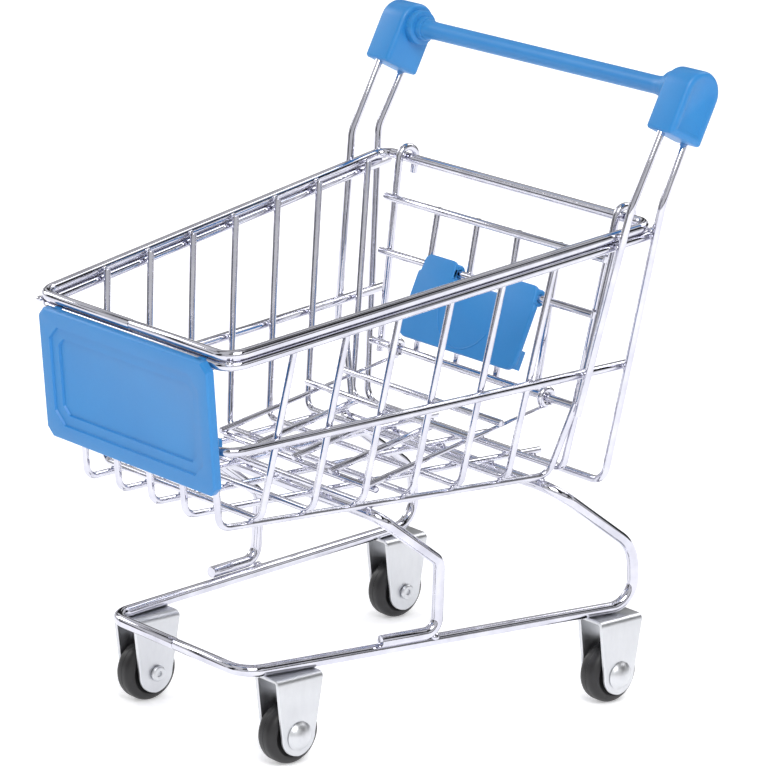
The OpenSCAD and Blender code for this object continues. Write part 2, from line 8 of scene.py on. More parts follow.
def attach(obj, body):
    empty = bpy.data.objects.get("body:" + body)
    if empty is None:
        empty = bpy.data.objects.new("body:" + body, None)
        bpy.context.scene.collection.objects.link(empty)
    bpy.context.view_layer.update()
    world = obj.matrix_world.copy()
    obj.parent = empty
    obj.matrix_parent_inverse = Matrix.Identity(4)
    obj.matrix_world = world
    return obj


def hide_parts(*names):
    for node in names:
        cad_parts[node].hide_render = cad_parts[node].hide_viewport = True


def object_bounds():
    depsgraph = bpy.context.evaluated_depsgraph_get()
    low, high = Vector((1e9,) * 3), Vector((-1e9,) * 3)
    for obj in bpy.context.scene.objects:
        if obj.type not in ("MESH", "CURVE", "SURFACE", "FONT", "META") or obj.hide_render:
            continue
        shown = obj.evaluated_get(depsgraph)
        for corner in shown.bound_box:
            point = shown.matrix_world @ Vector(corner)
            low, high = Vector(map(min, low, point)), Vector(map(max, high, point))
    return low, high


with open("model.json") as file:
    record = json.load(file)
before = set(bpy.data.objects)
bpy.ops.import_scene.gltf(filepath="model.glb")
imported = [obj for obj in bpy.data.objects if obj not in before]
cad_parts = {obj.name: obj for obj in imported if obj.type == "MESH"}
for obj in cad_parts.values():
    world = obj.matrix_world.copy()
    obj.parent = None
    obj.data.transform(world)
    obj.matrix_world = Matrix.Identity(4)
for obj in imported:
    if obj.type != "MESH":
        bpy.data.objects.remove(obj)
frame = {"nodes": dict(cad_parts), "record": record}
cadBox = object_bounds()
joints = {joint["name"]: joint for joint in frame["record"]["behaviour"]["joints"]}
bodyOf = {node: body for body, nodes in frame["record"]["behaviour"]["bodies"].items() for node in nodes}
slotOf = {part["node"]: part["material_slot"] for part in frame["record"]["subparts"]}
mm = 0.001
print("frame loaded:", len(frame["nodes"]), "nodes")


view = {
    "place": (0.6137, -0.5250, 0.2883),
    "azimuth": 48.88,       # degrees from -Y towards +X
    "elevation": 15.37,
    "roll": 1.85,
    "lens": 199.2,
    "sensor": 36,
    "nearest": 0.05,
    "farthest": 20,
}


def addCamera():
    camera = bpy.data.objects.new("camera", bpy.data.cameras.new("camera"))
    bpy.context.scene.collection.objects.link(camera)
    azimuth, elevation, roll = (math.radians(view[key]) for key in ("azimuth", "elevation", "roll"))
    back = Vector((math.sin(azimuth) * math.cos(elevation), -math.cos(azimuth) * math.cos(elevation),
                   math.sin(elevation)))
    level = Vector((0, 0, 1)).cross(back).normalized()
    up = back.cross(level)
    right = level * math.cos(roll) + up * math.sin(roll)
    turned = up * math.cos(roll) - level * math.sin(roll)
    axes = Matrix((right, turned, back)).transposed().to_4x4()
    camera.matrix_world = Matrix.Translation(view["place"]) @ axes
    camera.data.lens = view["lens"]
    camera.data.sensor_width = view["sensor"]
    camera.data.clip_start = view["nearest"]
    camera.data.clip_end = view["farthest"]
    bpy.context.scene.camera = camera


addCamera()


class Value:      # a socket of a shader tree, so that maths on it reads as maths
    def __init__(self, tree, socket=None):
        self.tree = tree
        self.socket = socket

    def make(self, kind, settings=None, values=None, output=0):
        node = self.tree.nodes.new(kind)
        for name, setting in (settings or {}).items():
            if name == "stops":
                fillRamp(node.color_ramp, setting)
            else:
                setattr(node, name, setting)
        for name, value in (values or {}).items():
            if isinstance(value, Value):
                self.tree.links.new(value.socket, node.inputs[name])
            else:
                node.inputs[name].default_value = value
        return Value(self.tree, node.outputs[output])

    def maths(self, operation, first, second):
        return self.make("ShaderNodeMath", {"operation": operation}, {0: first, 1: second})

    def __add__(self, other):
        return self.maths("ADD", self, other)

    def __mul__(self, other):
        return self.maths("MULTIPLY", self, other)

    __radd__ = __add__
    __rmul__ = __mul__

    def blend(self, low, high):      # this value picks between two colours
        return self.make("ShaderNodeMix", {"data_type": "RGBA"}, {0: self, 6: low, 7: high}, 2)

    def ramp(self, *stops):
        return self.make("ShaderNodeValToRGB", {"stops": stops}, {"Fac": self})

    def noise(self, place, scale, detail, roughness=0.55):
        return self.make("ShaderNodeTexNoise", {},
                         {"Vector": place, "Scale": scale, "Detail": detail, "Roughness": roughness})

    def bump(self, strength, distance):
        return self.make("ShaderNodeBump", {}, {"Height": self, "Strength": strength, "Distance": distance})


def fillRamp(ramp, stops):
    while len(ramp.elements) < len(stops):
        ramp.elements.new(1)
    for element, (position, grey) in zip(ramp.elements, stops):
        element.position = position
        element.color = (grey, grey, grey, 1)


def startMaterial(name):
    material = bpy.data.materials.new(name)
    material.use_nodes = True
    tree = material.node_tree
    tree.nodes.clear()
    start = Value(tree)
    place = start.make("ShaderNodeTexCoord", output="Object")
    return material, start, place


def finishMaterial(start, values):
    shader = start.make("ShaderNodeBsdfPrincipled", {}, values)
    out = start.tree.nodes.new("ShaderNodeOutputMaterial")
    start.tree.links.new(shader.socket, out.inputs["Surface"])


# In each finish, a noise is its scale and detail, and a bump its strength and its depth in metres
chrome = {"dark": (0.44, 0.44, 0.52, 1), "light": (0.80, 0.80, 0.86, 1), "polish": 0.03, "haze": 0.05,
          "cloud": (180, 4), "grain": (2400, 2), "bump": (0.06, 0.00006)}


def makeChrome():
    material, start, place = startMaterial("bright chrome")
    cloud = start.noise(place, *chrome["cloud"])
    grain = start.noise(place, *chrome["grain"])
    finishMaterial(start, {
        "Base Color": cloud.blend(chrome["dark"], chrome["light"]),
        "Metallic": 1.0,
        "Roughness": chrome["polish"] + cloud * chrome["haze"],
        "Normal": grain.bump(*chrome["bump"])})
    return material


zinc = {"dark": (0.52, 0.53, 0.56, 1), "light": (0.74, 0.75, 0.77, 1), "polish": 0.26, "haze": 0.22,
        "cloud": (150, 4), "cloudShare": 0.6, "strokes": (900, 3), "stretch": (6.0, 1.0, 0.35),
        "bump": (0.12, 0.00005)}


def makeZinc():
    material, start, place = startMaterial("satin zinc")
    brushed = start.make("ShaderNodeMapping", {}, {"Vector": place, "Scale": zinc["stretch"]})
    strokes = start.noise(brushed, *zinc["strokes"])
    cloud = start.noise(place, *zinc["cloud"])
    mixed = cloud * zinc["cloudShare"] + strokes * (1 - zinc["cloudShare"])
    finishMaterial(start, {
        "Base Color": mixed.blend(zinc["dark"], zinc["light"]),
        "Metallic": 1.0,
        "Roughness": zinc["polish"] + strokes * zinc["haze"],
        "Normal": strokes.bump(*zinc["bump"])})
    return material


plastic = {"deep": (0.014, 0.180, 0.490, 1), "bright": (0.034, 0.255, 0.600, 1), "gloss": 0.34, "haze": 0.14,
           "cloud": (70, 3), "cloudShare": 0.7, "grain": (3200, 2), "bump": (0.10, 0.00004), "index": 1.49,
           "glow": 0.05, "glowDepth": 0.002}


def makePlastic():
    material, start, place = startMaterial("blue moulded plastic")
    cloud = start.noise(place, *plastic["cloud"])
    grain = start.noise(place, *plastic["grain"])
    mixed = cloud * plastic["cloudShare"] + grain * (1 - plastic["cloudShare"])
    finishMaterial(start, {
        "Base Color": mixed.blend(plastic["deep"], plastic["bright"]),
        "Roughness": plastic["gloss"] + cloud * plastic["haze"],
        "IOR": plastic["index"],
        "Subsurface Weight": plastic["glow"],
        "Subsurface Scale": plastic["glowDepth"],
        "Normal": grain.bump(*plastic["bump"])})
    return material


tyre = {"deep": (0.005, 0.005, 0.006, 1), "worn": (0.016, 0.015, 0.017, 1), "gloss": 0.34, "haze": 0.22,
        "cloud": (320, 4), "grain": (4200, 2), "bump": (0.18, 0.00005), "index": 1.5}


def makeTyre():
    material, start, place = startMaterial("black wheel plastic")
    cloud = start.noise(place, *tyre["cloud"])
    grain = start.noise(place, *tyre["grain"])
    finishMaterial(start, {
        "Base Color": cloud.blend(tyre["deep"], tyre["worn"]),
        "Roughness": tyre["gloss"] + cloud * tyre["haze"],
        "IOR": tyre["index"],
        "Normal": grain.bump(*tyre["bump"])})
    return material


materials = {"chrome_wire": makeChrome(), "caster_zinc": makeZinc(), "blue_plastic": makePlastic(),
             "wheel_black": makeTyre()}
print("materials made")


def addPiece(name, mesh, node):      # a piece that stands for one CAD node
    piece = bpy.data.objects.new(name, mesh)
    bpy.context.scene.collection.objects.link(piece)
    if not mesh.materials:
        mesh.materials.append(materials[slotOf[node]])
    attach(piece, bodyOf[node])
    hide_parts(node)


def camelCase(node):
    first, *rest = node.split("_")
    return first + "".join(word.capitalize() for word in rest)


def smoothByAngle(mesh, angle):
    mesh.shade_smooth()
    mesh.set_sharp_from_angle(angle=math.radians(angle))


def bakeTree(source, tree, inputs):      # runs a node tree on an object and returns a plain mesh
    modifier = source.modifiers.new(tree.name, "NODES")
    modifier.node_group = tree
    for item in tree.interface.items_tree:
        if item.in_out == "INPUT" and item.name in inputs:
            modifier[item.identifier] = inputs[item.name]
    evaluated = source.evaluated_get(bpy.context.evaluated_depsgraph_get())
    mesh = bpy.data.meshes.new_from_object(evaluated)
    source.modifiers.remove(modifier)
    bpy.data.objects.remove(source)
    return mesh


def newTree(name, sockets):
    tree = bpy.data.node_groups.new(name, "GeometryNodeTree")
    tree.interface.new_socket("Geometry", in_out="INPUT", socket_type="NodeSocketGeometry")
    for label, kind in sockets.items():
        tree.interface.new_socket(label, in_out="INPUT", socket_type="NodeSocket" + kind)
    tree.interface.new_socket("Geometry", in_out="OUTPUT", socket_type="NodeSocketGeometry")
    return tree, tree.nodes.new("NodeGroupInput"), tree.nodes.new("NodeGroupOutput")


def makeWireTree():      # a path with a bend radius at each point becomes a round wire
    tree, given, result = newTree("wire along a path", {
        "Diameter": "Float", "Sides": "Int", "Bend Steps": "Int", "Material": "Material"})
    link = tree.links.new
    path = tree.nodes.new("GeometryNodeMeshToCurve")
    radius = tree.nodes.new("GeometryNodeInputNamedAttribute")
    radius.data_type = "FLOAT"
    radius.inputs["Name"].default_value = "bendRadius"
    fillet = tree.nodes.new("GeometryNodeFilletCurve")
    fillet.mode = "POLY"
    ring = tree.nodes.new("GeometryNodeCurvePrimitiveCircle")
    half = tree.nodes.new("ShaderNodeMath")
    half.operation = "MULTIPLY"
    half.inputs[1].default_value = 0.5
    sweep = tree.nodes.new("GeometryNodeCurveToMesh")
    sweep.inputs["Fill Caps"].default_value = True
    smooth = tree.nodes.new("GeometryNodeSetShadeSmooth")
    real = tree.nodes.new("GeometryNodeRealizeInstances")
    paint = tree.nodes.new("GeometryNodeSetMaterial")
    link(given.outputs["Geometry"], path.inputs["Mesh"])
    link(path.outputs["Curve"], fillet.inputs["Curve"])
    link(radius.outputs["Attribute"], fillet.inputs["Radius"])
    link(given.outputs["Bend Steps"], fillet.inputs["Count"])
    link(given.outputs["Diameter"], half.inputs[0])
    link(half.outputs[0], ring.inputs["Radius"])
    link(given.outputs["Sides"], ring.inputs["Resolution"])
    link(fillet.outputs["Curve"], sweep.inputs["Curve"])
    link(ring.outputs["Curve"], sweep.inputs["Profile Curve"])
    link(sweep.outputs["Mesh"], smooth.inputs["Geometry"])
    link(smooth.outputs["Geometry"], real.inputs["Geometry"])
    link(real.outputs["Geometry"], paint.inputs["Geometry"])
    link(given.outputs["Material"], paint.inputs["Material"])
    link(paint.outputs["Geometry"], result.inputs["Geometry"])
    return tree


wireTree = makeWireTree()
wireLook = {"sides": 28, "bendSteps": 9, "endRound": 0.22, "roundSteps": 2, "roundShape": 0.6,
            "sharpAngle": 50}
softEdge = {"segments": wireLook["roundSteps"], "affect": "EDGES", "profile": wireLook["roundShape"]}


def wireMesh(points, radii, diameter, material, endRound=wireLook["endRound"]):
    path = bpy.data.meshes.new("path")
    stretches = [(index, index + 1) for index in range(len(points) - 1)]
    path.from_pydata([Vector(point) * mm for point in points], stretches, [])
    bend = path.attributes.new("bendRadius", "FLOAT", "POINT")
    for index, radius in enumerate([0, *radii, 0]):
        bend.data[index].value = radius * mm
    holder = bpy.data.objects.new("path", path)
    bpy.context.scene.collection.objects.link(holder)
    mesh = bakeTree(holder, wireTree, {"Diameter": diameter * mm, "Sides": wireLook["sides"],
                                       "Bend Steps": wireLook["bendSteps"], "Material": material})
    shape = bmesh.new()
    shape.from_mesh(mesh)
    caps = [face for face in shape.faces if len(face.verts) > 4]      # the two cut ends
    rims = [edge for face in caps for edge in face.edges]
    bmesh.ops.bevel(shape, geom=rims, offset=endRound * mm, **softEdge)
    bmesh.ops.recalc_face_normals(shape, faces=shape.faces)
    shape.to_mesh(mesh)
    shape.free()
    smoothByAngle(mesh, wireLook["sharpAngle"])
    return mesh


# Sizes are in millimetres. The gauges are the wires' diameters
gauge = {"base": 2.4, "rim": 2.1, "rail": 1.9, "mesh": 1.4, "handle": 1.6, "gate": 1.6}
weldGap = 0.05
basket = {
    "length": 96.4, "rimWidthFront": 58.6, "rimWidthRear": 80.2, "rimHeightFront": 85.6, "midFront": 66.2,
    "midRear": 72.1, "floorHeight": 51.0, "floorWidthFront": 47.0, "floorWidthRear": 67.4, "frontSlope": 1.9,
    "sideWires": 7, "firstSideWire": 14.2, "lastSideWire": 10.4, "lastSideGap": 13.9,
    "sideLeanFront": 3.7, "sideLeanRear": 7.0, "longWires": 5, "longWidthFront": 41.2, "longWidthRear": 62.4,
    "rimBends": (4, 3), "railBend": 4, "sideBend": 2.4, "longBends": (2.6, 3),
    "railPast": 1.6, "midShort": 1.4,
    "longTurnAhead": 0.9, "longPastRear": 1.6, "longTipBack": 1, "longTipRise": 2.4,
}


def lerp(low, high, share):
    return low + (high - low) * share


def arcSteps(start, end, steps):      # angles from one to another, given in degrees
    return [math.radians(start + (end - start) * step / steps) for step in range(steps + 1)]


gateHinge = Vector(joints["gate_swing"]["pos_m"]) / mm
seatHinge = Vector(joints["seat_back_lift"]["pos_m"]) / mm
flapHinge = Vector(joints["seat_flap_lift"]["pos_m"]) / mm
frontAxle = Vector(joints["front_right_roll"]["pos_m"]) / mm
rearAxle = Vector(joints["rear_right_roll"]["pos_m"]) / mm
crossY = gateHinge.y
rimRear = gateHinge.z
rimY = crossY - basket["length"]
rail2Inset = (gauge["rim"] - gauge["rail"]) / 2
rail2Y = rimY + rail2Inset
rimRise = (rimRear - basket["rimHeightFront"]) / basket["length"]
rail2Drop = ((gauge["rim"] + gauge["rail"]) / 2 + weldGap) * math.hypot(1, rimRise)
rail2Z = basket["rimHeightFront"] - rail2Drop
midY = rail2Y + basket["frontSlope"]
slopeAngle = math.atan2(basket["frontSlope"], rail2Z - basket["midFront"])
floorY = rail2Y + (rail2Z - basket["floorHeight"]) * math.tan(slopeAngle)
floorY += (gauge["rail"] + gauge["mesh"]) / 2
longZ = basket["floorHeight"] - gauge["mesh"] - weldGap


def rimX(y):
    return lerp(basket["rimWidthFront"], basket["rimWidthRear"], (y - rimY) / basket["length"]) / 2


def rimZ(y):
    return lerp(basket["rimHeightFront"], rimRear, (y - rimY) / basket["length"])


def midZ(y):
    return lerp(basket["midFront"], basket["midRear"], (y - midY) / (crossY - midY))


def floorX(y):
    return lerp(basket["floorWidthFront"], basket["floorWidthRear"], (y - floorY) / (crossY - floorY)) / 2


def sideTopX(y):
    return rimX(y) - (gauge["rim"] + gauge["mesh"]) / 2 - weldGap


def sideShare(y):
    return (rimZ(y) - midZ(y)) / (rimZ(y) - basket["floorHeight"])


def sideWireY(index):
    if index == basket["sideWires"]:
        return crossY - basket["lastSideWire"]
    evenLength = basket["length"] - basket["firstSideWire"] - basket["lastSideWire"] - basket["lastSideGap"]
    return rimY + basket["firstSideWire"] + (index - 1) * evenLength / (basket["sideWires"] - 2)


def midX(y):      # the middle rail is straight and lies on the first and the last side wire
    first, last = sideWireY(1), sideWireY(basket["sideWires"])
    ends = [lerp(sideTopX(at), floorX(at), sideShare(at)) + (gauge["rail"] + gauge["mesh"]) / 2 + weldGap
            for at in (first, last)]
    return lerp(ends[0], ends[1], (y - first) / (last - first))


def baseX(y):
    return lerp(frontAxle.x, rearAxle.x, (y - frontAxle.y) / (rearAxle.y - frontAxle.y))


def bothSides(side):      # a route over the right side, and back over the left one
    return side + [(-x, y, z) for x, y, z in reversed(side)]


def mirrored(radii):
    return [*radii, *reversed(radii)]


base = {
    "overhang": 10.1, "riserOverhang": 5.6, "riserLean": 1.2, "riserHeight": 12.6, "riserTopAhead": 16.6,
    "supportTopBack": 17.0, "supportBack": 32.4, "supportFoot": 13.0, "footOut": 1.3, "footGap": 0.04,
    "legHeight": 16.4, "legIn": 0.4, "railHeight": 19.6,
    "frameBends": (5, 5.4, 9, 5.4), "supportBends": (3, 3, 3.4),
}
supportZ = longZ - (gauge["mesh"] + gauge["base"]) / 2 - weldGap


def baseRoutes():
    front, rear = frontAxle.y - base["overhang"], rearAxle.y + base["riserOverhang"]
    low = base["railHeight"]
    frameSide = [(weldGap / 2, front, low), (baseX(front), front, low), (baseX(rear), rear, low),
                 (baseX(rear), rear - base["riserLean"], low + base["riserHeight"]),
                 (baseX(rear), crossY - base["riserTopAhead"], supportZ)]
    footEnd = frontAxle.y + base["supportBack"]
    footRise = math.sqrt((gauge["base"] + base["footGap"] + weldGap) ** 2 - base["footOut"] ** 2)
    start = footEnd - base["supportFoot"]
    legX = baseX(footEnd) + base["footOut"]
    supportSide = [(baseX(start) + base["footOut"], start, low + footRise), (legX, footEnd, low + footRise),
                   (legX - base["legIn"], footEnd + base["legIn"], low + base["legHeight"]),
                   (legX - 2 * base["legIn"], frontAxle.y + base["supportTopBack"], supportZ)]
    return {"base_frame": (bothSides(frameSide), mirrored(base["frameBends"]), gauge["base"]),
            "front_support": (bothSides(supportSide), mirrored(base["supportBends"]), gauge["base"])}


def railRoutes():
    rimSide = [(weldGap / 2, rimY, basket["rimHeightFront"]), (rimX(rimY), rimY, basket["rimHeightFront"]),
               (rimX(crossY), crossY, rimRear)]
    rail2End, midEnd = crossY + basket["railPast"], crossY - basket["midShort"]
    rail2Side = [(rimX(rail2End) - rail2Inset, rail2End, rimZ(rail2End) - rail2Drop),
                 (rimX(rimY) - rail2Inset, rail2Y, rail2Z)]
    midSide = [(midX(midEnd), midEnd, midZ(midEnd)), (midX(midY), midY, basket["midFront"])]
    bend = basket["railBend"]
    return {"top_rim": (bothSides(rimSide), mirrored(basket["rimBends"]), gauge["rim"]),
            "second_rim": (bothSides(rail2Side), [bend, bend], gauge["rail"]),
            "middle_rail": (bothSides(midSide), [bend, bend], gauge["rail"])}


def sideWireRoutes():
    routes = {}
    for index in range(1, basket["sideWires"] + 1):
        y = sideWireY(index)
        share = (index - 1) / (basket["sideWires"] - 1)
        lean = lerp(basket["sideLeanFront"], basket["sideLeanRear"], share ** 2)
        top = y + lean * sideShare(y)
        low = y - lean * (1 - sideShare(y))
        side = [(sideTopX(top), top, rimZ(top)), (floorX(low), low, basket["floorHeight"])]
        routes[f"cross_wire_{index}"] = (bothSides(side), [basket["sideBend"]] * 2, gauge["mesh"])
    return routes


handle = {
    "capTop": 131.0, "capSpan": 84.0, "capDepth": 9.5, "capStem": 9.4, "tilt": 26.0, "wireSpacing": 7.0,
    "socketDepth": 4.0, "bendRise": 4.6, "topBend": 8, "lowBend": 3.5,
    "rearLowAhead": 5.9, "frontLowAhead": 14.4, "frontLowDrop": 8.2,
}
tilt = math.radians(handle["tilt"])
stem = Vector((0, -math.sin(tilt), -math.cos(tilt)))      # from a cap's round top to its flat foot
across = Vector((0, math.cos(tilt), -math.sin(tilt)))
capMiddle = Vector((handle["capSpan"] / 2, cadBox[1][1] / mm - handle["capDepth"] / 2,
                    handle["capTop"] - handle["capDepth"] / 2))
bendZ = rimRear + handle["bendRise"]


def handleRoute(side, lowY, lowZ):      # from its socket in the cap down to its low end
    leave = capMiddle + stem * handle["capStem"] + across * handle["wireSpacing"] / 2 * side
    topY = leave.y - (leave.z - bendZ) * math.tan(tilt)
    outside = gauge["handle"] / 2 + weldGap
    crossing = lerp(topY, lowY, (bendZ - midZ(lowY)) / (bendZ - lowZ))
    rimOut = rimX(min(topY, crossY)) + gauge["rim"] / 2 + outside
    midOut = midX(crossing) + gauge["rail"] / 2 + outside
    spread = (rimOut - midOut) / (rimZ(topY) - midZ(crossing))
    lowX = midOut - spread * (midZ(crossing) - lowZ)
    socket = leave - stem * (handle["socketDepth"] - weldGap)
    return [tuple(socket), (lowX + spread * (bendZ - lowZ), topY, bendZ), (lowX, lowY, lowZ)]


rearLow = (crossY - handle["rearLowAhead"], longZ - (gauge["mesh"] + gauge["handle"]) / 2 - weldGap)
frontLowY = crossY - handle["frontLowAhead"]
frontLow = (frontLowY, midZ(frontLowY) - handle["frontLowDrop"])


def handleRoutes():
    front, rear = handleRoute(-1, *frontLow), handleRoute(1, *rearLow)
    left = [(-x, y, z) for x, y, z in front]
    top, low = handle["topBend"], handle["lowBend"]
    return {"handle_wire_right": (front, [top], gauge["handle"]),
            "handle_wire_left": (left, [top], gauge["handle"]),
            "handle_wire_rear": (bothSides(rear), [top, low, low, top], gauge["handle"])}


def longWireRoutes():
    topY = rail2Y + (gauge["rail"] + gauge["mesh"]) / 2 / math.cos(slopeAngle) + weldGap
    bendY = topY + (rail2Z - longZ) * math.tan(slopeAngle)
    low = handleRoute(-1, *frontLow)[2]
    routes = {}
    for index in range(1, basket["longWires"] + 1):
        share = 2 * (index - 1) / (basket["longWires"] - 1) - 1
        outer = abs(share) == 1
        frontX = share * basket["longWidthFront"] / 2
        endY = frontLow[0] - basket["longTurnAhead"] if outer else rearLow[0] + basket["longPastRear"]
        endShare = (endY - bendY) / (rearLow[0] - bendY)
        endWidth = lerp(basket["longWidthFront"], basket["longWidthRear"], endShare)
        route = [(frontX, topY, rail2Z), (frontX, bendY, longZ), (share * endWidth / 2, endY, longZ)]
        if outer:
            beside = low[0] - (gauge["handle"] + gauge["mesh"]) / 2 - weldGap
            route.append((share * beside, low[1] + basket["longTipBack"], low[2] + basket["longTipRise"]))
        routes[f"long_wire_{index}"] = (route, basket["longBends"][:len(route) - 2], gauge["mesh"])
    return routes


def placed(place, routes):      # routes drawn about a hinge at the origin, moved to it and leaned
    return {name: ([tuple(place @ Vector(point)) for point in route], radii, diameter)
            for name, (route, radii, diameter) in routes.items()}


gate = {"lean": 9.0, "widthTop": 65.0, "widthLow": 59.0, "bars": (8.4, 19.7, 38.4), "barEnds": 0.4,
        "below": 2.2, "hookPlay": 0.4, "hookSteps": 24, "tail": 3.2, "uprights": 4, "uprightPitch": 12.2,
        "uprightEnds": 0.6}
hookRadius = (gauge["rim"] + gauge["gate"]) / 2 + gate["hookPlay"]
gateFront = -hookRadius - gauge["gate"] - weldGap
gatePlace = Matrix.Translation(gateHinge) @ Matrix.Rotation(math.radians(-gate["lean"]), 4, "X")


def gateRoutes():      # drawn hanging straight down from the crossbar, then leaned forward
    routes = {}
    low = gate["bars"][2] + gate["below"]
    for side, name in ((-1, "left"), (1, "right")):
        x = side * gate["widthTop"] / 2
        arc = arcSteps(180, 0, gate["hookSteps"])
        route = [(side * gate["widthLow"] / 2, -hookRadius, -low)]
        route += [(x, hookRadius * math.cos(angle), hookRadius * math.sin(angle)) for angle in arc]
        route.append((x, hookRadius, -gate["tail"]))
        routes[f"gate_side_{name}"] = (route, [0] * len(arc), gauge["gate"])
    for name, drop in zip(("gate_cross_upper", "gate_cross_middle", "seat_hinge_rod"), gate["bars"]):
        half = lerp(gate["widthTop"], gate["widthLow"], drop / low) / 2 + gauge["gate"] / 2 + gate["barEnds"]
        routes[name] = ([(-half, gateFront, -drop), (half, gateFront, -drop)], [], gauge["gate"])
    depth = gateFront + (gauge["gate"] + gauge["mesh"]) / 2 + weldGap
    for index in range(1, gate["uprights"] + 1):
        x = (index - (gate["uprights"] + 1) / 2) * gate["uprightPitch"]
        foot, head = -gate["bars"][2] - gate["uprightEnds"], -gate["bars"][0] + gate["uprightEnds"]
        ends = [(x, depth, foot), (x, depth, head)]
        routes[f"gate_upright_{index}"] = (ends, [], gauge["mesh"])
    return placed(gatePlace, routes)


seat = {"wires": 5, "width": 45.6, "length": 47.4, "drop": 10.7, "play": 0.1, "loop": (-70, 270),
        "loopSteps": 34, "bars": (14.0, 22.6), "barEnds": 2.2, "midStart": 2, "tipBar": 1.6, "tipEnds": 0.6}
loopRadius = (gauge["gate"] + gauge["mesh"]) / 2 + seat["play"]
seatPlace = Matrix.Translation(seatHinge) @ Matrix.Rotation(math.radians(seat["drop"]), 4, "X")


def seatRoutes():      # drawn level, pointing forward from the hinge rod, then dropped
    routes = {}
    for index in range(1, seat["wires"] + 1):
        x = (index - (seat["wires"] + 1) / 2) * seat["width"] / (seat["wires"] - 1)
        if index in (1, seat["wires"]):
            turn = arcSteps(*seat["loop"], seat["loopSteps"])
            start = [(x, loopRadius * math.cos(angle), loopRadius * math.sin(angle)) for angle in turn]
        else:
            start = [(x, seat["midStart"] - seat["bars"][1], -loopRadius)]
        route = start + [(x, -seat["length"], -loopRadius)]
        routes[f"seat_wire_{index}"] = (route, [0] * (len(route) - 2), gauge["mesh"])
    step = gauge["mesh"] + weldGap
    bars = [(-ahead, step, seat["barEnds"]) for ahead in seat["bars"]]
    bars.append((seat["tipBar"] - seat["length"], -step, seat["tipEnds"]))
    for index, (y, rise, beyond) in enumerate(bars, 1):
        half, z = seat["width"] / 2 + beyond, rise - loopRadius
        routes[f"seat_cross_{index}"] = ([(-half, y, z), (half, y, z)], [], gauge["mesh"])
    return placed(seatPlace, routes)


routes = {**baseRoutes(), **railRoutes(), **sideWireRoutes(), **handleRoutes(), **longWireRoutes(),
          **gateRoutes(), **seatRoutes()}
for node, (points, radii, diameter) in routes.items():
    addPiece(camelCase(node), wireMesh(points, radii, diameter, materials["chrome_wire"]), node)
print("wires made:", len(routes))


def loftMesh(name, loops):      # closed rings with the same number of points, closed by a face at each end
    count = len(loops[0])
    faces = [tuple(range(count))[::-1], tuple(range((len(loops) - 1) * count, len(loops) * count))]
    for ring in range(len(loops) - 1):
        for index in range(count):
            after = (index + 1) % count
            faces.append((ring * count + index, ring * count + after, (ring + 1) * count + after,
                          (ring + 1) * count + index))
    mesh = bpy.data.meshes.new(name)
    mesh.from_pydata([Vector(point) * mm for loop in loops for point in loop], [], faces)
    return mesh


def turned(name, profile, place, sides):      # a solid turned about an axis along X, from (x, radius) pairs
    loops = []
    for x, radius in profile:
        turn = [2 * math.pi * step / sides for step in range(sides)]
        loops.append([(place[0] + x, place[1] + radius * math.cos(angle), place[2] + radius * math.sin(angle))
                      for angle in turn])
    return loftMesh(name, loops)


def joinMeshes(name, meshes, angle, soften=0):      # one mesh with outward faces from several closed ones
    shape = bmesh.new()
    for mesh in meshes:
        shape.from_mesh(mesh)
        bpy.data.meshes.remove(mesh)
    if soften:
        sharp = [edge for edge in shape.edges
                 if edge.is_manifold and edge.calc_face_angle(0) > math.radians(angle)]
        bmesh.ops.bevel(shape, geom=sharp, offset=soften * mm, clamp_overlap=True, **softEdge)
    bmesh.ops.recalc_face_normals(shape, faces=shape.faces)
    joined = bpy.data.meshes.new(name)
    shape.to_mesh(joined)
    shape.free()
    smoothByAngle(joined, angle)
    return joined


def boxMesh(low, high, place):
    corners = [(low[0], low[1]), (high[0], low[1]), (high[0], high[1]), (low[0], high[1])]
    return loftMesh("box", [[place @ Vector((x, y, z)) for x, y in corners] for z in (low[2], high[2])])


# Each boss is its radius and its length, and its edge is how far before the end and how far in
cap = {"width": 7.2, "round": 0.9, "footRound": 0.7, "leastRound": 0.12, "dish": 0.35, "dishRim": 0.55,
       "dishSlope": 0.45, "bosses": ((3.6, 1.8), (2.5, 1.5)), "bossRoot": 0.5,
       "bossEdge": ((0.35, 0), (0.1, 0.12), (0, 0.4)), "bossSides": 48, "sharpAngle": 38}
bar = {"radius": 1.85, "flare": 0.35, "flareSteps": ((-2.4, 0), (-1.2, 0.3), (-0.4, 1), (2, 1)), "sides": 56}


def capOutline(inset):      # a D with a flat foot, as (across, up) pairs
    radius = handle["capDepth"] / 2 - inset
    foot = -handle["capStem"] + inset
    corner = max(cap["footRound"] - inset, cap["leastRound"])
    points = [(radius * math.cos(angle), radius * math.sin(angle)) for angle in arcSteps(0, 180, 28)]
    for side in (-1, 1):
        start, end = (180, 270) if side < 0 else (270, 360)
        middle = side * (radius - corner)
        points += [(middle + corner * math.cos(angle), foot + corner + corner * math.sin(angle))
                   for angle in arcSteps(start, end, 5)]
    return points


